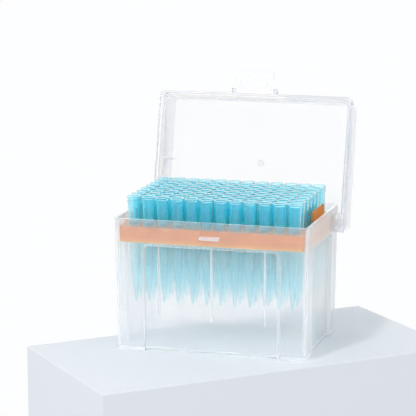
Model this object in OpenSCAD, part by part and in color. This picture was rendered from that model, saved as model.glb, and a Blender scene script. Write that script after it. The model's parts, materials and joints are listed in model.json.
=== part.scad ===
// Hinged storage box for twelve columns of eight micropipette tips.
//
// Frame: the origin is the centre of the footprint on the surface the box stands
// on. +Z is up, +X runs along the twelve columns, and -Y is the front, where the
// clasp latches. The lid is drawn shut, then turned open about its hinge pins.

/* [Rack] */
// Distance between the centres of neighbouring tips
pitch = 9; // [8:0.1:11]
// Outermost tip centre to the outer face of the short walls
end_margin = 10.5; // [8.6:0.1:12.6]
// Outermost tip centre to the outer face of the long walls
side_margin = 9.2; // [8.3:0.1:12]
// Free width between the mouths of neighbouring tips
tip_gap = 0.3; // [0.2:0.05:1]

/* [Base] */
// Height of the base from its feet to its rim
base_h = 81.3; // [66:0.1:110]
// Thickness of the walls
wall = 1.6; // [1.3:0.05:2]
// Thickness of the floor
floor_t = 2.4; // [2:0.05:3.5]
// Height of the relief under each panel, between the corner posts
relief_h = 0.8; // [0.5:0.05:1]
// Depth of that relief behind the base's outer face
relief_d = 6; // [4:0.1:10]
// How far each wall leans in between the rim and the feet
lean = 1.35; // [0.5:0.05:1.8]
// Radius of the upright corners
corner_r = 2.5; // [2:0.1:4]
// Width of a corner post on the long walls
long_post = 18.9; // [15:0.1:26]
// Width of a corner post on the short walls
short_post = 16.2; // [13:0.1:24]
// How far the panels between the posts stand back from them
recess = 2; // [1:0.05:2.4]
// Height of material between a panel's top and the ledge behind it
panel_web = 1.4; // [1:0.05:2.5]
// Radius of a panel's upper corners
panel_r = 3; // [2:0.1:5]
// Distance between the stiffening ribs inside the long walls
rib_pitch = 33; // [20:0.5:38]
// Thickness of a stiffening rib
rib_t = 1.2; // [0.8:0.05:2]
// Height of a stiffening rib off its wall
rib_out = 1.2; // [0.6:0.05:1.5]
// Height of a stiffening rib's lower end above the feet
rib_low = 19.3; // [6:0.1:40]

/* [Tray] */
// Depth of the tray's deck below the rim
deck_drop = 5.3; // [4:0.1:8]
// Height of the tray's skirt, deck included
skirt_h = 9.2; // [6:0.1:12]
// Thickness of the deck
deck_t = 1.5; // [1:0.05:2.5]
// Thickness of the skirt
skirt_t = 1.3; // [1:0.05:1.8]
// Play between the tray and the long walls
tray_gap = 0.4; // [0.2:0.05:0.8]
// Outermost tip centre to the end of the tray
tray_end = 7.7; // [6.4:0.1:8]
// Width of a lifting tab
tab_w = 26; // [18:0.1:45]
// Height of a lifting tab above the deck
tab_h = 10; // [6:0.1:13]
// Play of a tip in its hole
hole_gap = 0.1; // [0.05:0.01:0.2]

/* [Tips] */
// Length of a tip
tip_len = 64.5; // [50:0.1:80]
// Height of a tip's collar, which stands on the deck
collar_h = 17.9; // [14:0.1:22]
// Thickness of a tip's wall
tip_wall = 0.6; // [0.4:0.05:0.9]
// Depth of the parallel socket in a tip's mouth
socket_h = 6; // [4:0.1:9]
// Width of the hole in a tip's point
point_bore = 0.56; // [0.3:0.02:1]

/* [Lid] */
// Height of the lid from its mouth to its roof
lid_h = 26.2; // [23:0.1:40]
// Thickness of the lid's walls and roof
lid_t = 1.5; // [1:0.05:2]
// How far the shut lid reaches down over the rim
overlap = 3.6; // [2.5:0.1:4.4]
// Play between the rim and the lip around it
lip_gap = 0.35; // [0.25:0.05:0.6]
// Thickness of the lip at the short walls
lip_side = 2.7; // [1.8:0.05:3.4]
// Thickness of the lip at the long walls
lip_front = 1.3; // [1:0.05:2]
// Height of the lip
lip_h = 5.5; // [4.5:0.1:8]
// Free height between the rim and the lid's seat
seat_gap = 0.7; // [0.6:0.05:1]
// Angle through which the lid opens, from shut to its stops
open_angle = 103.8; // [95:0.1:112]

/* [Hinge] */
// Radius of a hinge pin
pin_r = 2.2; // [1.6:0.05:2.8]
// Running clearance around a pin
pin_gap = 0.05; // [0.03:0.01:0.08]
// Hinge axis to the outer face of the back wall
pin_back = 3.7; // [3.1:0.1:5]
// Depth of the hinge axis below the rim
pin_drop = 11.6; // [9.5:0.1:14]
// Width of a hinge ear
ear_w = 11.4; // [9:0.1:13]
// Reach of an ear beyond the hinge axis
ear_reach = 11; // [7:0.1:14]
// Thickness of an ear
ear_t = 2.1; // [1.5:0.05:2.6]

/* [Clasp] */
// Width of the clasp
clasp_w = 24.6; // [20:0.1:34]
// Length of the clasp from its axis to its free end
clasp_len = 13; // [10.5:0.1:18]
// Thickness of the clasp
clasp_t = 1.5; // [1:0.05:2]
// Width of the catch on the base
catch_w = 12; // [8:0.1:15]
// Height of the catch
catch_h = 2.8; // [2:0.1:3.4]
// Depth of the catch's top below the rim
catch_drop = 7.8; // [7:0.1:9.4]
// Play of the catch in the clasp's window, above and below
catch_gap = 0.35; // [0.25:0.05:0.8]
// Radius of the clasp's pivot pins
pivot_r = 0.7; // [0.5:0.05:0.9]

/* [Hidden] */

$fn = 48;
eps = 0.01;
columns = 12;
rows = 8;

// Base
base_w = (columns - 1) * pitch + 2 * end_margin;
base_d = (rows - 1) * pitch + 2 * side_margin;
lean_angle = atan(lean / base_h);
deck_z = base_h - deck_drop;
ledge_z = deck_z - skirt_h;
ledge_play = 0.01;
ledge_top = ledge_z - (wall + tray_gap + skirt_t) * sin(lean_angle) - ledge_play;
panel_top = ledge_z - panel_web;
long_panel = base_w - 2 * long_post;
short_panel = base_d - 2 * short_post;
boss_r = pin_r + 1.4;
boss_out = 0.2;
groove_deep = 0.5;

// Tray
tray_w = (columns - 1) * pitch + 2 * tray_end;
tray_d = base_d - 2 * (wall + tray_gap);
tray_r = corner_r - 0.5;
tab_r = 0.8;

// Tips
mouth_r = (pitch - tip_gap) / 2;
collar_r = mouth_r - 0.65;
neck_r = collar_r - 0.25;
waist_r = neck_r - 0.65;
socket_r = mouth_r - 0.9;
waist_h = 0.37 * tip_len;
tip_z = deck_z + collar_h;

// Lid, in its shut position
mouth_z = base_h - overlap;
seat_z = base_h + seat_gap;
roof_z = mouth_z + lid_h;
lip_w = base_w + 2 * (lip_gap + lip_side);
lip_d = base_d + 2 * (lip_gap + lip_front);
lip_inset = 2;
lid_w = lip_w - 2 * lip_inset;
lid_d = lip_d - 2 * lip_inset;
gate_r = 2;
gate_deep = 0.3;
brace_low = 2.5;
brace_out = 2.6;
brace_t = 1;

// Hinge
pin_y = base_d / 2 - pin_back;
pin_z = base_h - pin_drop;
ear_x = base_w / 2 + lip_gap + 0.05;
ear_r = 2.9;
ear_low = pin_z - ear_reach + ear_r + 0.1;
pin_end = ear_x + ear_t + 0.4;
lip_edge_y = lip_d / 2 - pin_y;
lip_edge_z = mouth_z - pin_z;
stop_y = pin_y + lip_edge_y * cos(open_angle) + lip_edge_z * sin(open_angle);
stop_z = pin_z - lip_edge_y * sin(open_angle) + lip_edge_z * cos(open_angle);
stop_gap = 0.08;
stop_w = 10;
stop_h = 3.6;
stop_x = base_w / 2 - long_post / 2 - 1;

// Clasp, in its latched position
barrel_r = 1.15;
axis_drop = 1.3;
pivot_gap = 0.05;
lug_t = 2.2;
lug_r = 1.6;
lug_gap = 0.2;
lug_root = -lip_d / 2 + 0.3;
flip_angle = 90;
axis_y = -lip_d / 2 - barrel_r - 0.25;
axis_z = mouth_z - axis_drop;
catch_out = -axis_y - barrel_r - base_d / 2 + 0.45;
catch_z = base_h - catch_drop - catch_h / 2;
catch_bevel = 0.5;
catch_slope = 0.8;
window_w = catch_w + 4;
window_h = catch_h + 2 * catch_gap;
window_drop = axis_z - catch_z;
clasp_r = 2;
grip_out = 0.9;
grip_h = 1.2;

body_colour = [0.87, 0.89, 0.93];
tray_colour = [0.90, 0.50, 0.10];
tip_colour = [0.45, 0.78, 0.90];

// ---- Shapes that several pieces share ----

// A rectangle with rounded corners, centred on the origin.
module round_rect(w, d, r) {
    square([w - 2 * r, d], center = true);
    square([w, d - 2 * r], center = true);
    for (sx = [-1, 1], sy = [-1, 1])
        translate([sx * (w / 2 - r), sy * (d / 2 - r)]) circle(r);
}

// An upright slab with rounded corners that stands on height z.
module slab(w, d, r, z, h) {
    translate([0, 0, z]) linear_extrude(h) round_rect(w, d, r);
}

// The centre of column i, from the left, and of row j, from the front.
function column_x(i) = (i - (columns - 1) / 2) * pitch;
function row_y(j) = (j - (rows - 1) / 2) * pitch;

// How far the base's outer face has come in at height z.
function lean_at(z) = lean * (1 - z / base_h);

// The base's leaning outer form, drawn in by inset, from height z0 to z1.
module leaning_block(inset, r, z0, z1) {
    hull() {
        for (z = [z0, z1 - eps]) {
            inward = inset + lean_at(z);
            slab(base_w - 2 * inward, base_d - 2 * inward, r, z, eps, $fn = 32);
        }
    }
}

// Puts a shape drawn for a wall at y = 0, facing -Y, onto the base's side number k,
// counted from the front, with the wall's lean.
module on_side(k) {
    reach = k % 2 == 0 ? base_d / 2 : base_w / 2;
    rotate([0, 0, 90 * k]) translate([0, -reach, base_h])
        rotate([lean_angle, 0, 0]) translate([0, 0, -base_h]) children();
}

// A slab against a wall, from depth y0 to y1 behind its face, with two round upper corners.
module wall_slab(w, z0, z1, r, y0, y1) {
    translate([0, y1, 0]) rotate([90, 0, 0]) linear_extrude(y1 - y0) {
        translate([-w / 2, z0]) square([w, z1 - r - z0]);
        translate([r - w / 2, z0]) square([w - 2 * r, z1 - z0]);
        for (s = [-1, 1]) translate([s * (w / 2 - r), z1 - r]) circle(r);
    }
}

// Draws a Y-Z outline and extrudes it along X, centred.
module along_x(w) {
    translate([-w / 2, 0, 0]) rotate([90, 0, 90]) linear_extrude(w) children();
}

// Swings children about the lid's hinge axis, opening by a.
module swing_open(a) {
    translate([0, pin_y, pin_z]) rotate([-a, 0, 0]) translate([0, -pin_y, -pin_z]) children();
}

// Swings children about the clasp's axis, away from the catch by a.
module flip_out(a) {
    translate([0, axis_y, axis_z]) rotate([-a, 0, 0]) translate([0, -axis_y, -axis_z]) children();
}

// ---- Base ----

module base_panels_inside() {
    for (k = [0:3]) {
        w = k % 2 == 0 ? long_panel : short_panel;
        on_side(k) wall_slab(w + 2 * wall, floor_t / 2, ledge_top, panel_r + wall, wall / 2, recess + wall);
    }
}

module base_panels_outside() {
    for (k = [0:3]) {
        w = k % 2 == 0 ? long_panel : short_panel;
        on_side(k) wall_slab(w, -2, panel_top, panel_r, -2, recess);
    }
}

module base_ribs() {
    for (k = [0, 2], i = [-1:1])
        on_side(k) translate([i * rib_pitch - rib_t / 2, recess + wall / 2, rib_low])
            cube([rib_t, wall / 2 + rib_out, ledge_top - rib_low]);
}

module base_catch() {
    low = catch_z - catch_h / 2;
    high = catch_z + catch_h / 2;
    translate([0, -base_d / 2, 0]) along_x(catch_w)
        polygon([[wall / 2, low], [0, low], [-catch_out, low + catch_bevel], [-catch_out, high - catch_slope],
                 [0, high], [wall / 2, high]]);
}

module base_hinge_pins() {
    for (s = [-1, 1]) translate([s * (base_w / 2 - wall / 2), pin_y, pin_z]) rotate([0, s * 90, 0]) {
        cylinder(r = pin_r, h = pin_end - base_w / 2 + wall / 2);
        cylinder(r = boss_r, h = wall / 2 + boss_out);
    }
}

module base_stops() {
    for (s = [-1, 1])
        translate([s * stop_x - stop_w / 2, base_d / 2 - wall, stop_z - stop_h / 2])
            cube([stop_w, stop_y - stop_gap - base_d / 2 + wall, stop_h]);
}

module base() {
    color(body_colour) difference() {
        union() {
            difference() {
                leaning_block(0, corner_r, 0, base_h);
                leaning_block(wall, corner_r - wall / 2, floor_t, base_h + 1);
            }
            base_panels_inside();
            base_ribs();
            base_catch();
            base_hinge_pins();
            base_stops();
        }
        base_panels_outside();
        // The bottom edge is raised between the corner posts.
        for (k = [0:3]) {
            w = k % 2 == 0 ? long_panel : short_panel;
            on_side(k) translate([-w / 2, -1, -1]) cube([w, 1 + relief_d, 1 + relief_h]);
        }
        // A shallow groove runs from the rim down to the catch.
        translate([-catch_w / 2, -base_d / 2 - 1, catch_z + catch_h / 2])
            cube([catch_w, 1 + groove_deep, base_h]);
    }
}

// ---- Tray ----

module tray_tabs() {
    for (s = [-1, 1])
        translate([s * (tray_w / 2 - skirt_t / 2) - skirt_t / 2, 0, 0]) rotate([90, 0, 90])
            linear_extrude(skirt_t) translate([0, deck_z + tab_h / 2 - deck_t / 2])
                round_rect(tab_w, tab_h + deck_t, tab_r);
}

module tray() {
    color(tray_colour) difference() {
        union() {
            slab(tray_w, tray_d, tray_r, deck_z - deck_t, deck_t);
            difference() {
                slab(tray_w, tray_d, tray_r, ledge_z, skirt_h - deck_t / 2);
                slab(tray_w - 2 * skirt_t, tray_d - 2 * skirt_t, tray_r - skirt_t / 2, ledge_z - 1, skirt_h);
            }
            tray_tabs();
        }
        for (i = [0:columns - 1], j = [0:rows - 1])
            translate([column_x(i), row_y(j), deck_z - 2 * deck_t])
                cylinder(r = neck_r + hole_gap, h = 4 * deck_t);
    }
}

// ---- Tips ----

// One tip, with its mouth at z = 0 and its point below.
module tip() {
    rotate_extrude() polygon([
        // Outside, from the mouth down
        [mouth_r, 0], [mouth_r, -1.3], [mouth_r - 0.3, -1.6], [mouth_r - 0.3, -2.6],
        [mouth_r - 0.15, -2.9], [mouth_r - 0.15, -4.1], [mouth_r - 0.4, -4.5], [mouth_r - 0.4, -6.5],
        [collar_r, -collar_h], [neck_r, -collar_h],
        [waist_r, waist_h - tip_len], [point_bore / 2 + 0.24, -tip_len],
        // Bore, from the point up
        [point_bore / 2, -tip_len], [waist_r - tip_wall, waist_h - tip_len], [neck_r - tip_wall, -collar_h],
        [socket_r, -socket_h], [socket_r, -0.4], [socket_r + 0.4, 0]
    ]);
}

// The eight tips of column number i, counted from the left.
module tip_column(i) {
    color(tip_colour)
        for (j = [0:rows - 1]) translate([column_x(i), row_y(j), tip_z]) tip();
}

// ---- Lid ----

module lid_ears() {
    for (s = [-1, 1])
        translate([s * (ear_x + ear_t / 2), 0, 0]) along_x(ear_t) {
            translate([pin_y - ear_w / 2, ear_low]) square([ear_w, mouth_z + 1 - ear_low]);
            translate([pin_y, ear_low]) round_rect(ear_w, 2 * ear_r + 0.2, ear_r);
        }
}

module lid_lugs() {
    for (s = [-1, 1])
        translate([s * (clasp_w / 2 + lug_gap + lug_t / 2), 0, 0]) along_x(lug_t) {
            translate([axis_y, axis_z]) circle(lug_r);
            polygon([[axis_y - lug_r, axis_z], [axis_y - lug_r, axis_z + 1], [lug_root, mouth_z + 3],
                     [lug_root, mouth_z], [axis_y + lug_r, axis_z]]);
        }
}

// A brace stands against the inside of each short wall, at its middle.
module lid_braces() {
    x = lid_w / 2 - lid_t;
    low = seat_z + brace_low;
    top = roof_z - lid_t / 2;
    for (s = [0, 1])
        mirror([s, 0, 0]) translate([0, brace_t / 2, 0]) rotate([90, 0, 0]) linear_extrude(brace_t)
            polygon([[x + lid_t / 2, low], [x, low], [x - brace_out, top], [x + lid_t / 2, top]]);
}

module lid_shut() {
    difference() {
        union() {
            slab(lip_w, lip_d, corner_r + lip_gap + lip_front, mouth_z, lip_h);
            slab(lid_w, lid_d, corner_r + lip_gap, mouth_z + 1, lid_h - 1);
            lid_ears();
            lid_lugs();
        }
        slab(base_w + 2 * lip_gap, base_d + 2 * lip_gap, corner_r + lip_gap,
             mouth_z - 1, overlap + seat_gap + 1);
        slab(lid_w - 2 * lid_t, lid_d - 2 * lid_t, corner_r - lid_t / 2, mouth_z + 1, lid_h - lid_t - 1);
        translate([0, pin_y, pin_z]) rotate([0, 90, 0])
            cylinder(r = pin_r + pin_gap, h = 2 * base_w, center = true);
        translate([0, axis_y, axis_z]) rotate([0, 90, 0])
            cylinder(r = pivot_r + pivot_gap, h = clasp_w + 4 * lug_t, center = true);
        translate([0, 0, roof_z - gate_deep]) cylinder(r = gate_r, h = 1);
    }
    lid_braces();
}

module lid() {
    color(body_colour) swing_open(open_angle) lid_shut();
}

// ---- Clasp ----

module clasp_latched() {
    translate([0, axis_y, axis_z]) {
        rotate([0, 90, 0]) cylinder(r = barrel_r, h = clasp_w, center = true);
        rotate([0, 90, 0]) cylinder(r = pivot_r, h = clasp_w + 2 * (lug_gap + lug_t), center = true);
        difference() {
            union() {
                translate([0, barrel_r, 0]) rotate([90, 0, 0]) linear_extrude(clasp_t) {
                    translate([-clasp_w / 2, -clasp_len + 2 * clasp_r])
                        square([clasp_w, clasp_len - 2 * clasp_r]);
                    translate([0, -clasp_len + 1.5 * clasp_r]) round_rect(clasp_w, 3 * clasp_r, clasp_r);
                }
                translate([clasp_r - clasp_w / 2, barrel_r - clasp_t - grip_out, -clasp_len])
                    cube([clasp_w - 2 * clasp_r, clasp_t + grip_out, grip_h]);
            }
            translate([0, 0, -window_drop]) cube([window_w, 4 * clasp_t, window_h], center = true);
        }
    }
}

module clasp() {
    color(body_colour) swing_open(open_angle) flip_out(flip_angle) clasp_latched();
}

base();
lid();
clasp();
tray();
tip_column(0);  // tip_column_01
tip_column(1);  // tip_column_02
tip_column(2);  // tip_column_03
tip_column(3);  // tip_column_04
tip_column(4);  // tip_column_05
tip_column(5);  // tip_column_06
tip_column(6);  // tip_column_07
tip_column(7);  // tip_column_08
tip_column(8);  // tip_column_09
tip_column(9);  // tip_column_10
tip_column(10);  // tip_column_11
tip_column(11);  // tip_column_12
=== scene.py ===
"""Looks of a hinged storage box full of micropipette tips.

A frosted tub and lid, a clear flip clasp, an orange tray and twelve columns of
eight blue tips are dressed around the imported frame. Lengths are in millimetres
until a mesh is finished, and in metres from then on.
"""

from __future__ import annotations

import json
import logging
import math
import random
from dataclasses import dataclass, field
from enum import Enum, IntEnum

import bmesh
import bpy
from mathutils import Matrix, Vector

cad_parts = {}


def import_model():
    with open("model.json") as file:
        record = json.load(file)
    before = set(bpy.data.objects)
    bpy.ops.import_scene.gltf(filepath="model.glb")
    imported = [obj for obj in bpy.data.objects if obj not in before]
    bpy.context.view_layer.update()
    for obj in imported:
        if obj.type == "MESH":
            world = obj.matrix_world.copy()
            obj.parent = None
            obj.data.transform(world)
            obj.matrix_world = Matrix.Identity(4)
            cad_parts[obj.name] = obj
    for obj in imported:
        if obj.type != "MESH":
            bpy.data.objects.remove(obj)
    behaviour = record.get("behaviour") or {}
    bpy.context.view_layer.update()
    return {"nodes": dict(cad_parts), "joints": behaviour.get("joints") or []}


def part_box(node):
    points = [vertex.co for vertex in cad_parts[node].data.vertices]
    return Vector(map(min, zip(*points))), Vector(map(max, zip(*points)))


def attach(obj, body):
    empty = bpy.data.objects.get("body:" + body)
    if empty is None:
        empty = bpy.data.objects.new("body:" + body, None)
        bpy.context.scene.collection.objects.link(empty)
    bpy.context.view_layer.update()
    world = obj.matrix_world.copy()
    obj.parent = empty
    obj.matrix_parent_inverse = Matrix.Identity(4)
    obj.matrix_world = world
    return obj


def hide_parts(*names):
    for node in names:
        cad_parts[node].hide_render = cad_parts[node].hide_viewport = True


LOG = logging.getLogger("tip_box")
MM = 0.001
DIGITS = 3

Colour = tuple[float, float, float]
Point = tuple[float, float, float]
Ring = tuple[float, float, bool]


class Body(Enum):
    """The rigid bodies that pieces ride on."""

    BOX = "box"
    LID = "lid"
    CLASP = "clasp"


class Slot(Enum):
    """The record's material slots."""

    FROSTED = "frosted_body"
    ORANGE = "tray_orange"
    BLUE = "tip_blue"


class ShellFinish(IntEnum):
    """Order of a moulding's finishes; the tub's accent is a painted highlight and the lid's wall finish a
    painted shade.
    """

    WALL = 0
    ACCENT = 1


class TipFinish(IntEnum):
    """Order of a tip's finishes; the brim's is a painted highlight."""

    COLLAR = 0
    BODY = 1
    PAINTED_BRIM = 2
    POINT = 3


class Graph:
    """A small helper that lays out one material's nodes."""

    def __init__(self, name: str) -> None:
        """Starts an empty material.

        Args:
            name: The material's name.
        """
        self.material = bpy.data.materials.new(name)
        self.material.use_nodes = True
        self.tree = self.material.node_tree
        self.tree.nodes.clear()
        self.output = self.tree.nodes.new("ShaderNodeOutputMaterial")

    def add(self, kind: str, **settings: object) -> bpy.types.Node:
        """Adds a node.

        Args:
            kind: The node's type, without its ShaderNode prefix.
            **settings: Values of the node's own properties.

        Returns:
            The new node.
        """
        node = self.tree.nodes.new("ShaderNode" + kind)
        for key, value in settings.items():
            setattr(node, key, value)
        return node

    def link(self, source: bpy.types.NodeSocket, target: bpy.types.NodeSocket) -> None:
        """Joins an output socket to an input socket."""
        self.tree.links.new(source, target)

    def coords(self) -> bpy.types.NodeSocket:
        """Returns the piece's Object coordinates, in metres."""
        return self.add("TexCoord").outputs["Object"]

    def noise(self, scale: float, detail: float = 3.0,
              stretch: Point | None = None) -> bpy.types.NodeSocket:
        """Adds a noise pattern on Object coordinates.

        Args:
            scale: Waves per metre.
            detail: Octaves of finer noise.
            stretch: How much the pattern is squeezed along X, Y and Z.

        Returns:
            The noise's value socket.
        """
        place = self.coords()
        if stretch is not None:
            mapping = self.add("Mapping")
            mapping.inputs["Scale"].default_value = stretch
            self.link(place, mapping.inputs["Vector"])
            place = mapping.outputs["Vector"]
        noise = self.add("TexNoise")
        noise.inputs["Scale"].default_value = scale
        noise.inputs["Detail"].default_value = detail
        self.link(place, noise.inputs["Vector"])
        return noise.outputs["Fac"]

    def remap(self, value: bpy.types.NodeSocket, low: float, high: float,
              source: tuple[float, float] = (0.3, 0.7)) -> bpy.types.NodeSocket:
        """Maps a value onto another range.

        Args:
            value: The socket to map.
            low: Result at the start of the source range.
            high: Result at its end.
            source: The range that is read.

        Returns:
            The mapped value's socket.
        """
        node = self.add("MapRange")
        node.inputs["From Min"].default_value = source[0]
        node.inputs["From Max"].default_value = source[1]
        node.inputs["To Min"].default_value = low
        node.inputs["To Max"].default_value = high
        self.link(value, node.inputs["Value"])
        return node.outputs["Result"]

    def ramp(self, value: bpy.types.NodeSocket, stops: list[tuple[float, Colour]]) -> bpy.types.NodeSocket:
        """Colours a value through a ramp.

        Args:
            value: The socket that drives the ramp.
            stops: Positions and their linear colours.

        Returns:
            The ramp's colour socket.
        """
        node = self.add("ValToRGB")
        elements = node.color_ramp.elements
        while len(elements) < len(stops):
            elements.new(0.5)
        for element, (position, colour) in zip(elements, stops):
            element.position = position
            element.color = (*colour, 1.0)
        self.link(value, node.inputs["Fac"])
        return node.outputs["Color"]

    def bump(self, height: bpy.types.NodeSocket, depth: float, strength: float) -> bpy.types.NodeSocket:
        """Adds a bump.

        Args:
            height: The pattern that stands for height.
            depth: Its full height in metres.
            strength: Share of the effect.

        Returns:
            The bumped normal's socket.
        """
        node = self.add("Bump")
        node.inputs["Distance"].default_value = depth
        node.inputs["Strength"].default_value = strength
        self.link(height, node.inputs["Height"])
        return node.outputs["Normal"]

    def lets_lamps_through(self, shader: bpy.types.NodeSocket, tint: Colour) -> bpy.types.NodeSocket:
        """Lets lamp light pass straight through a clear or frosted wall.

        Args:
            shader: The shader that the eye sees.
            tint: What one face lets through.

        Returns:
            The mixed shader's socket.
        """
        rays = self.add("LightPath")
        clear = self.add("BsdfTransparent")
        clear.inputs["Color"].default_value = (*tint, 1.0)
        mix = self.add("MixShader")
        self.link(rays.outputs["Is Shadow Ray"], mix.inputs["Fac"])
        self.link(shader, mix.inputs[1])
        self.link(clear.outputs["BSDF"], mix.inputs[2])
        return mix.outputs["Shader"]

    def haze(self, colour: Colour, density: float, forward: float = 0.0) -> None:
        """Fills the piece with a haze that scatters light.

        Args:
            colour: Colour of the scattered light.
            density: Share of the light that a metre scatters.
            forward: How far the scattering keeps the light's direction.
        """
        cloud = self.add("VolumeScatter")
        cloud.inputs["Color"].default_value = (*colour, 1.0)
        cloud.inputs["Density"].default_value = density
        cloud.inputs["Anisotropy"].default_value = forward
        self.link(cloud.outputs["Volume"], self.output.inputs["Volume"])

    def finish(self, shader: bpy.types.NodeSocket) -> bpy.types.Material:
        """Joins the shader to the output and returns the material."""
        self.link(shader, self.output.inputs["Surface"])
        return self.material


@dataclass(frozen=True)
class FrostedPlastic:
    """Natural polypropylene with a fine spark-eroded frost.

    Attributes:
        name: The material's name.
        tint: Colour of the resin.
        clear: Share of the unscattered light that one face passes.
        milk: Share of the light that a metre of the resin scatters.
        shade: Colour of the scattered light.
        forward: How far that scattering keeps the light's direction.
        blur: Least and most roughness.
        ior: How far the resin bends light.
        lamp_tint: What one face passes of a lamp's light.
        flow: Waves per metre of the slow change in roughness.
        drawn: Scale of that change along Z, where less than 1 draws it out.
        frost: Waves per metre of the frost.
        grain: Height of the frost in metres.
        relief: Strength of the frost's relief.
    """

    name: str = "frosted_polypropylene"
    tint: Colour = (0.945, 0.96, 0.975)
    clear: float = 0.97
    milk: float = 165.0
    shade: Colour = (0.80, 0.875, 0.95)
    forward: float = -0.1
    blur: tuple[float, float] = (0.17, 0.22)
    ior: float = 1.38
    lamp_tint: Colour = (0.96, 0.965, 0.97)
    flow: float = 55.0
    drawn: float = 0.35
    frost: float = 2600.0
    grain: float = 0.00002
    relief: float = 0.35

    def build(self) -> bpy.types.Material:
        """Lays out the frost, the blurred gloss and the haze.

        Returns:
            The material.
        """
        graph = Graph(self.name)
        surface = graph.add("BsdfPrincipled")
        surface.inputs["Base Color"].default_value = (*self.tint, 1.0)
        surface.inputs["Transmission Weight"].default_value = self.clear
        surface.inputs["IOR"].default_value = self.ior
        flow = graph.noise(self.flow, detail=2.0, stretch=(1.0, 1.0, self.drawn))
        graph.link(graph.remap(flow, *self.blur), surface.inputs["Roughness"])
        frost = graph.noise(self.frost, detail=2.0)
        graph.link(graph.bump(frost, self.grain, self.relief), surface.inputs["Normal"])
        graph.haze(self.shade, self.milk, self.forward)
        return graph.finish(graph.lets_lamps_through(surface.outputs["BSDF"], self.lamp_tint))


@dataclass(frozen=True)
class TrayPlastic:
    """Orange moulding whose thin lower edge carries painted light, a lighter colour that stands in for
    light shining through the resin.

    Attributes:
        skirt: Height of the skirt's lower edge, in metres.
        name: The material's name.
        light: Colour where the resin is thin or fresh from the gate.
        deep: Colour elsewhere.
        painted_edge_light: Painted light along the thin lower edge, a lighter colour that stands in for
            light shining through.
        fade: Where the painted edge light is full and where it ends, in metres above that edge.
        strength: Share of the painted edge light at the very edge.
        gloss: Least and most roughness.
        shine: Strength of the reflections.
        ior: How far the resin bends light.
        flow: Waves per metre of the slow change in colour and roughness.
        pores: Waves per metre of the surface's fine grain.
        grain: Height of that grain in metres.
        relief: Strength of the grain's relief.
    """

    skirt: float
    name: str = "orange_polypropylene"
    light: Colour = (0.68, 0.215, 0.022)
    deep: Colour = (0.57, 0.170, 0.014)
    painted_edge_light: Colour = (0.74, 0.42, 0.055)
    fade: tuple[float, float] = (-0.0003, 0.0027)
    strength: float = 0.9
    gloss: tuple[float, float] = (0.45, 0.60)
    shine: float = 0.12
    ior: float = 1.49
    flow: float = 90.0
    pores: float = 1800.0
    grain: float = 0.00002
    relief: float = 0.4

    def build(self) -> bpy.types.Material:
        """Lays out the two oranges, the painted light on the thin edge and the grain.

        Returns:
            The material.
        """
        graph = Graph(self.name)
        surface = graph.add("BsdfPrincipled")
        surface.inputs["IOR"].default_value = self.ior
        surface.inputs["Specular IOR Level"].default_value = self.shine
        flow = graph.noise(self.flow)
        body = graph.ramp(flow, [(0.35, self.deep), (0.65, self.light)])
        # Painted light: near the skirt's lower edge the orange is blended towards a lighter colour that
        # stands in for light shining through the thin resin.
        place = graph.add("SeparateXYZ")
        graph.link(graph.coords(), place.inputs["Vector"])
        full, end = self.fade
        thin = graph.remap(place.outputs["Z"], self.strength, 0.0, (self.skirt + full, self.skirt + end))
        blend = graph.add("Mix", data_type="RGBA")
        graph.link(thin, blend.inputs[0])
        graph.link(body, blend.inputs[6])
        blend.inputs[7].default_value = (*self.painted_edge_light, 1.0)
        graph.link(blend.outputs[2], surface.inputs["Base Color"])
        graph.link(graph.remap(flow, *self.gloss), surface.inputs["Roughness"])
        pores = graph.noise(self.pores, detail=2.0)
        graph.link(graph.bump(pores, self.grain, self.relief), surface.inputs["Normal"])
        return graph.finish(surface.outputs["BSDF"])


@dataclass(frozen=True)
class TipPlastic:
    """Clear blue polypropylene of a thin-walled tip.

    Attributes:
        name: The material's name.
        resin: Colour that one wall passes.
        clear: Share of the unscattered light that one face passes.
        pigment: Colour of the light that the resin scatters.
        milk: Share of the light that a metre of the resin scatters.
        lamp_tint: What one face passes of a lamp's light.
        ior: How far the resin bends light.
        gloss: Least and most roughness.
        flow: Waves per metre of the slow change in roughness.
        drawn: Scale of that change along Z, where less than 1 draws it out.
    """

    name: str
    resin: Colour = (0.60, 0.93, 1.0)
    clear: float = 1.0
    pigment: Colour = (0.45, 0.925, 1.0)
    milk: float = 350.0
    lamp_tint: Colour = (0.80, 0.98, 1.0)
    ior: float = 1.50
    gloss: tuple[float, float] = (0.03, 0.09)
    flow: float = 220.0
    drawn: float = 0.08

    def build(self) -> bpy.types.Material:
        """Lays out the clear wall and its blue haze.

        Returns:
            The material.
        """
        graph = Graph(self.name)
        surface = graph.add("BsdfPrincipled")
        surface.inputs["Base Color"].default_value = (*self.resin, 1.0)
        surface.inputs["Transmission Weight"].default_value = self.clear
        surface.inputs["IOR"].default_value = self.ior
        flow = graph.noise(self.flow, detail=2.0, stretch=(1.0, 1.0, self.drawn))
        graph.link(graph.remap(flow, *self.gloss), surface.inputs["Roughness"])
        graph.haze(self.pigment, self.milk)
        return graph.finish(graph.lets_lamps_through(surface.outputs["BSDF"], self.lamp_tint))


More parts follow.
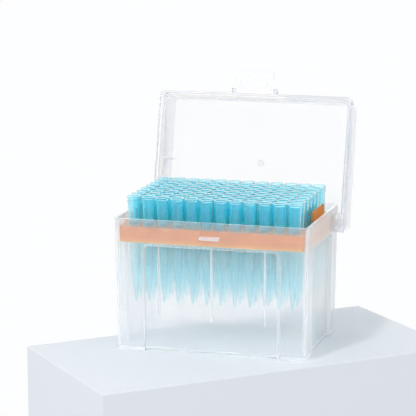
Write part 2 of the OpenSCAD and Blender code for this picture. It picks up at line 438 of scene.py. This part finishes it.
@dataclass(frozen=True)
class FloorPaint:
    """Matt white paint of the plinth that the box stands on.

    Attributes:
        name: The material's name.
        colour: Its paint.
        gloss: Least and most roughness.
        shine: Strength of the reflections.
        clouds: Waves per metre of the change in roughness.
    """

    name: str = "pale_paint"
    colour: Colour = (0.80, 0.82, 0.85)
    gloss: tuple[float, float] = (0.72, 0.86)
    shine: float = 0.2
    clouds: float = 9.0

    def build(self) -> bpy.types.Material:
        """Lays out the paint.

        Returns:
            The material.
        """
        graph = Graph(self.name)
        surface = graph.add("BsdfPrincipled")
        surface.inputs["Base Color"].default_value = (*self.colour, 1.0)
        surface.inputs["Specular IOR Level"].default_value = self.shine
        graph.link(graph.remap(graph.noise(self.clouds), *self.gloss), surface.inputs["Roughness"])
        return graph.finish(surface.outputs["BSDF"])


def box_mm(node: str) -> tuple[Point, Point]:
    """Gives a CAD node's box at rest.

    Args:
        node: The CAD node's name.

    Returns:
        Its lowest and highest corner, in mm.
    """
    low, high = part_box(node)
    return tuple(round(v / MM, DIGITS) for v in low), tuple(round(v / MM, DIGITS) for v in high)


def roof_aim(joints: list[dict]) -> Point:
    """Gives the direction that the roof of the open lid faces.

    Args:
        joints: The frame's joints.

    Returns:
        The direction.
    """
    travel = next(joint["range_deg"] for joint in joints if joint["name"] == "lid_hinge")
    opened = math.radians(travel[1])
    return 0.0, math.sin(opened), math.cos(opened)


def add_piece(name: str, mesh_data: bmesh.types.BMesh, materials: list[bpy.types.Material],
              scale: float = 1.0) -> bpy.types.Object:
    """Turns a finished bmesh into an object at the origin.

    Args:
        name: The piece's name.
        mesh_data: The shape, which is freed.
        materials: Its material slots in order.
        scale: Metres for each unit of the shape.

    Returns:
        The new object, linked to the scene.
    """
    bmesh.ops.transform(mesh_data, matrix=Matrix.Scale(scale, 4), verts=mesh_data.verts)
    mesh = bpy.data.meshes.new(name)
    mesh_data.to_mesh(mesh)
    mesh_data.free()
    for material in materials:
        mesh.materials.append(material)
    piece = bpy.data.objects.new(name, mesh)
    bpy.context.scene.collection.objects.link(piece)
    return piece


@dataclass
class MouldedShell:
    """A thin moulding whose corners are softened as they leave a real mould.

    Attributes:
        node: The CAD node it stands for.
        name: The piece's name.
        body: What it rides on.
        slot: The record's material slot; not used.
        radius: Radius of the softened edges, in mm.
        sharp: Least angle of an edge that is softened, in degrees.
        thin: Width of the narrow steps that take the accent, in mm.
        seam: Place along X, in mm, where faces are split so that none closes a ring.
        accent_area: Least area of a face that takes the accent, in mm2, or 0 for the steps and soft edges;
            the tray's accent is its glossy deck, and the lid's is its roof, whose other faces take the
            painted shade.
        aim: The direction, or its opposite, that such a face looks along.
        facing: Least cosine between such a face's normal and the aim.
        flat: Largest angle between triangles of one flat face, in degrees.
        crease: Least angle of an edge that is shaded as a crease, in degrees.
        weld: Distance within which the CAD's corners are joined, in mm.
        trim: Distance within which the softened moulding's corners are joined, in mm.
    """

    node: str
    name: str
    body: Body
    slot: Slot
    radius: float = 0.25
    sharp: float = 35.0
    thin: float = 2.3
    seam: float = 18.0
    accent_area: float = 0.0
    aim: Point = (0.0, 0.0, 1.0)
    facing: float = 0.97
    flat: float = 0.2
    crease: float = 40.0
    weld: float = 0.002
    trim: float = 0.0005

    def merged_copy(self, source: bpy.types.Object) -> bmesh.types.BMesh:
        """Copies the CAD node's mesh and joins its triangles into flat faces.

        Args:
            source: The CAD node's object.

        Returns:
            The copy, whose faces are split along the seam.
        """
        shape = bmesh.new()
        shape.from_mesh(source.data)
        bmesh.ops.remove_doubles(shape, verts=shape.verts, dist=self.weld * MM)
        cut = bmesh.ops.bisect_plane(
            shape, geom=shape.verts[:] + shape.edges[:] + shape.faces[:], dist=self.weld / 2 * MM,
            plane_co=(self.seam * MM, 0.0, 0.0), plane_no=(1.0, 0.0, 0.0))
        seam = set(cut["geom_cut"])
        free = [edge for edge in shape.edges if edge not in seam]
        bmesh.ops.dissolve_limit(shape, angle_limit=math.radians(self.flat), verts=shape.verts,
                                 edges=free, delimit=set())
        return shape

    def mark_steps(self, shape: bmesh.types.BMesh) -> None:
        """Gives the accent to the narrow faces that lie between two corners.

        Args:
            shape: The moulding before its edges are softened.
        """
        limit = math.radians(self.sharp)
        width = self.thin * MM
        for face in shape.faces:
            narrow = face.calc_area() < width * face.calc_perimeter() / 2
            step = all(edge.calc_face_angle(0.0) > limit for edge in face.edges
                       if edge.calc_length() > 2 * width)
            # On the tub, the accent on these steps is a painted highlight.
            face.material_index = ShellFinish.ACCENT if narrow and step else ShellFinish.WALL

    def soften(self, shape: bmesh.types.BMesh) -> set[bmesh.types.BMFace]:
        """Rounds the corners.

        Args:
            shape: The moulding.

        Returns:
            The faces of the rounded strips.
        """
        limit = math.radians(self.sharp)
        corners = [edge for edge in shape.edges
                   if len(edge.link_faces) == 2 and edge.calc_face_angle(0.0) > limit]
        soft = bmesh.ops.bevel(shape, geom=corners, offset=self.radius * MM, offset_type="OFFSET",
                               affect="EDGES", segments=2, profile=0.5, material=-1, clamp_overlap=True)
        return set(soft["faces"])

    def dress(self, shape: bmesh.types.BMesh, rounded: set[bmesh.types.BMFace]) -> None:
        """Sets the finish of each face and keeps the flat faces flat beside the strips.

        Args:
            shape: The softened moulding.
            rounded: The faces of the rounded strips.
        """
        aim = Vector(self.aim)
        least = self.accent_area * MM * MM
        for face in shape.faces:
            face.smooth = True
            # The tray's accent is its glossy deck; on the lid the faces that miss it keep the darker wall
            # finish, a painted shade.
            if self.accent_area:
                accented = face.calc_area() > least and abs(face.normal.dot(aim)) > self.facing
                face.material_index = ShellFinish.ACCENT if accented else ShellFinish.WALL
            # Without that area, the steps and rounded strips take the accent, which on the tub is a painted
            # highlight.
            elif face in rounded:
                face.material_index = ShellFinish.ACCENT
        crease = math.radians(self.crease)
        for edge in shape.edges:
            rims = sum(face in rounded for face in edge.link_faces)
            edge.smooth = rims != 1 and edge.calc_face_angle(0.0) < crease

    def build(self, source: bpy.types.Object, finishes: list[bpy.types.Material]) -> bpy.types.Object:
        """Makes the softened piece from its CAD node.

        Args:
            source: The CAD node's object.
            finishes: Materials in the order of ShellFinish.

        Returns:
            The new piece.
        """
        shape = self.merged_copy(source)
        self.mark_steps(shape)
        self.dress(shape, self.soften(shape))
        bmesh.ops.remove_doubles(shape, verts=shape.verts, dist=self.trim * MM)
        piece = add_piece(self.name, shape, finishes)
        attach(piece, self.body.value)
        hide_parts(self.node)
        LOG.info("%s stands for %s with %d faces", self.name, self.node, len(piece.data.polygons))
        return piece


@dataclass
class TipRack:
    """Twelve columns of eight thin-walled tips that hang in the tray, in mm.

    Attributes:
        first: Place of the front left tip, along X and Y.
        pitch: Distance between neighbours.
        top: Height of the mouths.
        length: Length of a tip.
        deck: Height of the tray's deck, which carries the collars.
        mouth: Radius of a mouth.
        columns: Number of columns, along X.
        rows: Number of rows, along Y.
        tab: Height of the tray's lifting tabs above its deck.
        slack: How much narrower a mouth is than the CAD's, so that a tip may lean.
        weld: Distance within which vertices are joined.
        wall: Thickness of a tip's wall.
        point: Length of the clear point.
        sides: Facets around a tip.
        ribs: How deep the collar's upright ribs are.
        rib_zone: How far in from the mouth's radius the ribbed rings lie, at most.
        collar_below: How far below the deck the collar's finish ends.
        brim_below: How far below the mouth the brim's painted highlight ends.
        crease: Least angle of an edge that is shaded as a crease, in degrees.
        lean: Largest stray lean of a tip, in degrees.
        splay: Lean of the outermost columns away from the middle, in degrees.
        seed: Start of the stray leans.
    """

    first: tuple[float, float]
    pitch: float
    top: float
    length: float
    deck: float
    mouth: float
    columns: int = 12
    rows: int = 8
    tab: float = 10.0
    slack: float = 0.05
    weld: float = 0.001
    wall: float = 0.6
    point: float = 20.0
    sides: int = 32
    ribs: float = 0.12
    rib_zone: float = 0.8
    collar_below: float = 0.5
    brim_below: float = 0.3
    crease: float = 28.0
    lean: float = 0.55
    splay: float = 0.9
    seed: int = 4

    @classmethod
    def on_frame(cls) -> TipRack:
        """Takes the places and the size of the tips from the CAD's columns.

        Returns:
            The rack.
        """
        low, high = box_mm("tip_column_01")
        last = box_mm(f"tip_column_{cls.columns:02d}")[0]
        radius = (high[0] - low[0]) / 2
        return cls(
            first=(low[0] + radius, low[1] + radius),
            pitch=(last[0] - low[0]) / (cls.columns - 1),
            top=high[2],
            length=high[2] - low[2],
            deck=box_mm("tray")[1][2] - cls.tab,
            mouth=radius - cls.slack)

    def outline(self) -> list[Ring]:
        """Gives the outer wall from the mouth down.

        Returns:
            Each ring's radius, its height below the mouth and whether ribs cut it.
        """
        rim = self.mouth
        deck = self.deck - self.top
        foot = -self.length
        return [
            (rim - 0.05, 0.0, False), (rim, -0.25, False), (rim, -1.1, False), (rim - 0.3, -1.45, False),
            (rim - 0.3, -2.5, False), (rim - 0.12, -2.75, False), (rim - 0.12, -3.9, False),
            (rim - 0.38, -4.3, False), (rim - 0.38, -6.2, False), (rim - 0.42, -6.6, True),
            (rim - 0.62, deck + 0.25, True), (rim - 0.75, deck + 0.02, False), (rim - 0.92, deck, False),
            (rim - 0.98, deck - 1.0, False), (rim - 1.2, deck - 9.0, False),
            (2.8, 0.37 * self.length + foot, False), (1.75, 0.16 * self.length + foot, False),
            (0.52, foot, False),
        ]

    def bore(self) -> list[Ring]:
        """Gives the inner wall from the point up.

        Returns:
            Each ring's radius, its height below the mouth and that no ribs cut it.
        """
        rim = self.mouth
        deck = self.deck - self.top
        foot = -self.length
        return [
            (0.28, foot, False), (1.35, 0.16 * self.length + foot, False),
            (2.8 - self.wall, 0.37 * self.length + foot, False), (rim - 0.98 - self.wall, deck, False),
            (rim - 0.9, -6.0, False), (rim - 0.86, -0.4, False), (rim - 0.45, 0.0, False),
        ]

    def turned(self) -> bmesh.types.BMesh:
        """Turns the profile of one tip about the upright.

        Returns:
            The smooth tip, in mm, with its mouth at the origin.
        """
        shape = bmesh.new()
        verts = [shape.verts.new((r, 0.0, z)) for r, z, _ in self.outline() + self.bore()]
        edges = [shape.edges.new(pair) for pair in zip(verts, verts[1:] + verts[:1])]
        bmesh.ops.spin(shape, geom=verts + edges, cent=(0.0, 0.0, 0.0), axis=(0.0, 0.0, 1.0),
                       angle=math.tau, steps=self.sides, use_merge=True)
        bmesh.ops.remove_doubles(shape, verts=shape.verts, dist=self.weld)
        bmesh.ops.recalc_face_normals(shape, faces=shape.faces)
        for place, face in enumerate(sorted(shape.faces, key=self.face_order)):
            face.index = place
        shape.faces.sort()
        return shape

    @staticmethod
    def face_order(face: bmesh.types.BMFace) -> tuple[float, float, float]:
        """Ranks a face by its place, because a spin lists its faces in no fixed order.

        Args:
            face: A face of the tip.

        Returns:
            Its height, turn about the upright and radius, rounded.
        """
        middle = face.calc_center_median()
        turn = math.atan2(middle.y, middle.x)
        radius = math.hypot(middle.x, middle.y)
        return round(middle.z, DIGITS), round(turn, DIGITS), round(radius, DIGITS)

    def cut_ribs(self, shape: bmesh.types.BMesh) -> None:
        """Presses every other upright line of the collar inwards.

        Args:
            shape: The turned tip.
        """
        ribbed = {round(z, DIGITS) for _, z, cut in self.outline() if cut}
        for vert in shape.verts:
            radius = math.hypot(vert.co.x, vert.co.y)
            if round(vert.co.z, DIGITS) in ribbed and radius > self.mouth - self.rib_zone:
                line = round(math.atan2(vert.co.y, vert.co.x) / math.tau * self.sides)
                if line % 2:
                    vert.co.x *= 1.0 - self.ribs / radius
                    vert.co.y *= 1.0 - self.ribs / radius

    def finish_at(self, height: float) -> TipFinish:
        """Chooses the finish of a face.

        Args:
            height: The face's height, which is 0 at the mouth.

        Returns:
            The finish.
        """
        if height > -self.brim_below:
            return TipFinish.PAINTED_BRIM
        if height > self.deck - self.top - self.collar_below:
            return TipFinish.COLLAR
        if height > self.point - self.length:
            return TipFinish.BODY
        return TipFinish.POINT

    def tip_mesh(self) -> bpy.types.Mesh:
        """Makes the one mesh that every tip repeats.

        Returns:
            The ribbed and dressed tip, in mm.
        """
        shape = self.turned()
        self.cut_ribs(shape)
        crease = math.radians(self.crease)
        for edge in shape.edges:
            edge.smooth = edge.calc_face_angle(0.0) < crease
        for face in shape.faces:
            face.smooth = True
            face.material_index = self.finish_at(face.calc_center_median().z)
        mesh = bpy.data.meshes.new("tip")
        shape.to_mesh(mesh)
        shape.free()
        return mesh

    def seat_of(self, column: int, row: int) -> Matrix:
        """Gives the place of a tip's mouth.

        Args:
            column: Its column, from the left.
            row: Its row, from the front.

        Returns:
            The translation matrix, in mm.
        """
        across = self.first[0] + column * self.pitch
        along = self.first[1] + row * self.pitch
        return Matrix.Translation((across, along, self.top))

    def lean_of(self, column: int, dice: random.Random) -> Matrix:
        """Gives the lean of a tip about its collar's foot.

        Args:
            column: Its column, from the left.
            dice: Where the stray lean comes from.

        Returns:
            The rotation matrix.
        """
        middle = (self.columns - 1) / 2
        across = self.splay * ((column - middle) / middle) ** 3 + dice.uniform(-self.lean, self.lean)
        along = dice.uniform(-self.lean, self.lean)
        spin = Matrix.Rotation(dice.uniform(0.0, math.tau), 4, "Z")
        foot = Matrix.Translation((0.0, 0.0, self.top - self.deck))
        turn = Matrix.Rotation(math.radians(across), 4, "Y") @ Matrix.Rotation(math.radians(along), 4, "X")
        return foot.inverted() @ turn @ foot @ spin

    def build(self, finishes: list[bpy.types.Material]) -> list[bpy.types.Object]:
        """Makes one piece for each column.

        Args:
            finishes: Materials in the order of TipFinish.

        Returns:
            The pieces, from the left.
        """
        dice = random.Random(self.seed)
        tip = self.tip_mesh()
        pieces = []
        for column in range(self.columns):
            rack = bmesh.new()
            for row in range(self.rows):
                before = len(rack.verts)
                rack.from_mesh(tip)
                rack.verts.ensure_lookup_table()
                place = self.seat_of(column, row) @ self.lean_of(column, dice)
                bmesh.ops.transform(rack, matrix=place, verts=rack.verts[before:])
            node = f"tip_column_{column + 1:02d}"
            piece = add_piece(f"tips_{column + 1:02d}", rack, finishes, MM)
            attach(piece, Body.BOX.value)
            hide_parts(node)
            pieces.append(piece)
            LOG.info("%s stands for %s", piece.name, node)
        bpy.data.meshes.remove(tip)
        return pieces


@dataclass
class Studio:
    """The pale plinth, the lamp, the white room and the camera.

    Attributes:
        middle: Centre of the plinth's top, in mm.
        turn: Turn of the plinth about the upright, in degrees.
        plinth: Length, width and height of the plinth, in mm.
        rounding: Radius of the plinth's edges, in mm.
        drop: How far the plinth's top lies below the box, in mm.
        room: Strength of the room's light.
        daylight: Colour of the room's light.
        white: Colour of the room as seen, mirrored and looked at through plastic.
        key: Power of the main lamp, in watts.
        key_place: Where the main lamp hangs, in metres.
        key_size: Side of the main lamp, in metres.
        key_aim: What the main lamp points at, in metres.
        target: What the camera looks at, in mm.
        azimuth: Its turn to the right of the front, in degrees.
        elevation: Its height angle, in degrees.
        roll: Its roll, in degrees.
        distance: Its distance from the target, in mm.
        sensor: Width of its sensor, in mm.
        lens: Its focal length, in mm.
        near: The nearest distance that it sees, in metres.
        bounces: How often light may turn, by kind of surface.
    """

    middle: tuple[float, float] = (11.9, -13.6)
    turn: float = 42.05
    plinth: Point = (233.4, 118.0, 120.0)
    rounding: float = 0.6
    drop: float = 0.02
    room: float = 0.86
    daylight: Colour = (0.93, 0.97, 1.0)
    white: Colour = (0.985, 0.99, 1.0)
    key: float = 6.5
    key_place: Point = (-0.283, -0.963, 1.185)
    key_size: float = 0.16
    key_aim: Point = (0.0, 0.0, 0.07)
    target: Point = (-12.69, 0.0, 82.254)
    azimuth: float = 16.2204
    elevation: float = 11.1252
    roll: float = -0.1198
    distance: float = 1249.774
    sensor: float = 36.0
    lens: float = 176.766
    near: float = 0.05
    bounces: dict[str, int] = field(default_factory=lambda: {
        "max_bounces": 64, "transmission_bounces": 48, "transparent_max_bounces": 96,
        "glossy_bounces": 8, "diffuse_bounces": 6, "volume_bounces": 14})

    def lay_plinth(self, paint: bpy.types.Material) -> bpy.types.Object:
        """Lays the plinth under the box.

        Args:
            paint: Its material.

        Returns:
            The plinth.
        """
        shape = bmesh.new()
        bmesh.ops.create_cube(shape, size=1.0)
        bmesh.ops.scale(shape, vec=self.plinth, verts=shape.verts)
        bmesh.ops.bevel(shape, geom=shape.edges, offset=self.rounding, offset_type="OFFSET",
                        affect="EDGES", segments=2, profile=0.5, material=-1)
        turn = Matrix.Rotation(math.radians(self.turn), 4, "Z")
        place = Matrix.Translation((*self.middle, -self.plinth[2] / 2 - self.drop))
        bmesh.ops.transform(shape, matrix=place @ turn, verts=shape.verts)
        plinth = add_piece("plinth", shape, [paint], MM)
        return plinth

    def light_room(self) -> None:
        """Fills the room with even light, which looks white where it is seen or mirrored."""
        world = bpy.data.worlds.new("white_room")
        world.use_nodes = True
        nodes = world.node_tree.nodes
        link = world.node_tree.links.new
        light = nodes["Background"]
        light.inputs["Color"].default_value = (*self.daylight, 1.0)
        light.inputs["Strength"].default_value = self.room
        seen = nodes.new("ShaderNodeBackground")
        seen.inputs["Color"].default_value = (*self.white, 1.0)
        rays = nodes.new("ShaderNodeLightPath")
        shown = rays.outputs["Is Camera Ray"]
        for kind in ("Is Transmission Ray", "Is Glossy Ray"):
            either = nodes.new("ShaderNodeMath")
            either.operation = "MAXIMUM"
            link(shown, either.inputs[0])
            link(rays.outputs[kind], either.inputs[1])
            shown = either.outputs[0]
        mix = nodes.new("ShaderNodeMixShader")
        link(shown, mix.inputs["Fac"])
        link(light.outputs["Background"], mix.inputs[1])
        link(seen.outputs["Background"], mix.inputs[2])
        link(mix.outputs["Shader"], nodes["World Output"].inputs["Surface"])
        bpy.context.scene.world = world

    def hang_lamp(self) -> None:
        """Hangs the square soft lamp that points at the box."""
        lamp = bpy.data.lights.new("key", "AREA")
        lamp.energy = self.key
        lamp.size = self.key_size
        holder = bpy.data.objects.new("key", lamp)
        holder.location = self.key_place
        aim = Vector(self.key_aim) - Vector(self.key_place)
        holder.rotation_euler = aim.to_track_quat("-Z", "Y").to_euler()
        bpy.context.scene.collection.objects.link(holder)

    def place_camera(self) -> None:
        """Sets up the camera at its angle and distance."""
        azimuth = math.radians(self.azimuth)
        elevation = math.radians(self.elevation)
        roll = math.radians(self.roll)
        back = Vector((math.sin(azimuth) * math.cos(elevation),
                       -math.cos(azimuth) * math.cos(elevation), math.sin(elevation)))
        right = Vector((math.cos(azimuth), math.sin(azimuth), 0.0))
        up = back.cross(right)
        turned = right * math.cos(roll) + up * math.sin(roll)
        upright = up * math.cos(roll) - right * math.sin(roll)
        spot = (Vector(self.target) + back * self.distance) * MM
        camera = bpy.data.objects.new("camera", bpy.data.cameras.new("camera"))
        camera.data.lens = self.lens
        camera.data.sensor_width = self.sensor
        camera.data.clip_start = self.near
        camera.matrix_world = Matrix((
            (turned.x, upright.x, back.x, spot.x), (turned.y, upright.y, back.y, spot.y),
            (turned.z, upright.z, back.z, spot.z), (0.0, 0.0, 0.0, 1.0)))
        bpy.context.scene.collection.objects.link(camera)
        bpy.context.scene.camera = camera

    def build(self) -> None:
        """Lays the plinth, lights the room and places the camera."""
        scene = bpy.context.scene
        scene.view_settings.view_transform = "Standard"
        scene.cycles.blur_glossy = 0.0
        for name, count in self.bounces.items():
            setattr(scene.cycles, name, count)
        self.lay_plinth(FloorPaint().build())
        self.light_room()
        self.hang_lamp()
        self.place_camera()
        LOG.info("studio ready")


def build_mouldings(frame: dict) -> None:
    """Builds the tub, the lid, the clasp and the tray.
    """
    nodes = frame["nodes"]
    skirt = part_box("tray")[0].z
    shade = (0.22, 0.38, 0.54)
    frosted = FrostedPlastic().build()
    # Painted highlight: a whiter, less clear copy of the frosted resin goes on the tub's steps and rounded
    # edges, standing in for light caught on those edges.
    edge = FrostedPlastic("frosted_painted_highlight", tint=(0.965, 0.98, 1.0), clear=0.45).build()
    lid = FrostedPlastic("lid_polypropylene", tint=(0.992, 0.994, 1.0), milk=60.0, shade=shade,
                         blur=(0.12, 0.16), grain=0.0).build()
    # Painted shade: a darker, greyer copy of the lid's resin goes on the lid's side walls and edges,
    # standing in for the shade seen on them; the roof keeps the clear resin.
    lid_wall_painted_shade = FrostedPlastic("lid_wall_painted_shade", tint=(0.86, 0.875, 0.91), milk=75.0, shade=shade,
                              blur=(0.12, 0.16), grain=0.0).build()
    orange = TrayPlastic(skirt).build()
    deck = TrayPlastic(skirt, "orange_deck", gloss=(0.12, 0.2), shine=0.8).build()
    tub = MouldedShell("base", "tub", Body.BOX, Slot.FROSTED, radius=0.4)
    lid_shell = MouldedShell("lid", "lid_shell", Body.LID, Slot.FROSTED, radius=0.3, accent_area=300.0,
                             aim=roof_aim(frame["joints"]))
    clasp = MouldedShell("clasp", "clasp_plate", Body.CLASP, Slot.FROSTED, radius=0.2)
    tray = MouldedShell("tray", "tip_tray", Body.BOX, Slot.ORANGE, radius=0.2, accent_area=40.0)
    tub.build(nodes["base"], [frosted, edge])
    lid_shell.build(nodes["lid"], [lid_wall_painted_shade, lid])
    clasp.build(nodes["clasp"], [lid, lid])
    tray.build(nodes["tray"], [orange, deck])


def build_tips() -> None:
    """Builds the twelve columns of tips."""
    collar = TipPlastic("tip_collar", resin=(0.60, 0.94, 1.0), milk=420.0, pigment=(0.17, 0.75, 1.0))
    body = TipPlastic("tip_body", resin=(0.77, 0.975, 1.0), milk=480.0, pigment=(0.40, 0.93, 1.0), ior=1.40)
    # Painted highlight: the mouth rims take a whiter, less clear copy of the tip resin, standing in for
    # light caught on the rims.
    brim = TipPlastic("tip_brim_painted_highlight", resin=(0.78, 0.96, 1.0), clear=0.45)
    point = TipPlastic("tip_point", resin=(0.74, 0.97, 1.0), milk=150.0, pigment=(0.6, 0.95, 1.0))
    TipRack.on_frame().build([finish.build() for finish in (collar, body, brim, point)])


def main() -> None:
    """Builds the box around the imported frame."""
    logging.basicConfig(level=logging.INFO, format="%(name)s: %(message)s")
    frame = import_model()
    build_mouldings(frame)
    build_tips()
    Studio().build()


if __name__ == "__main__":
    main()
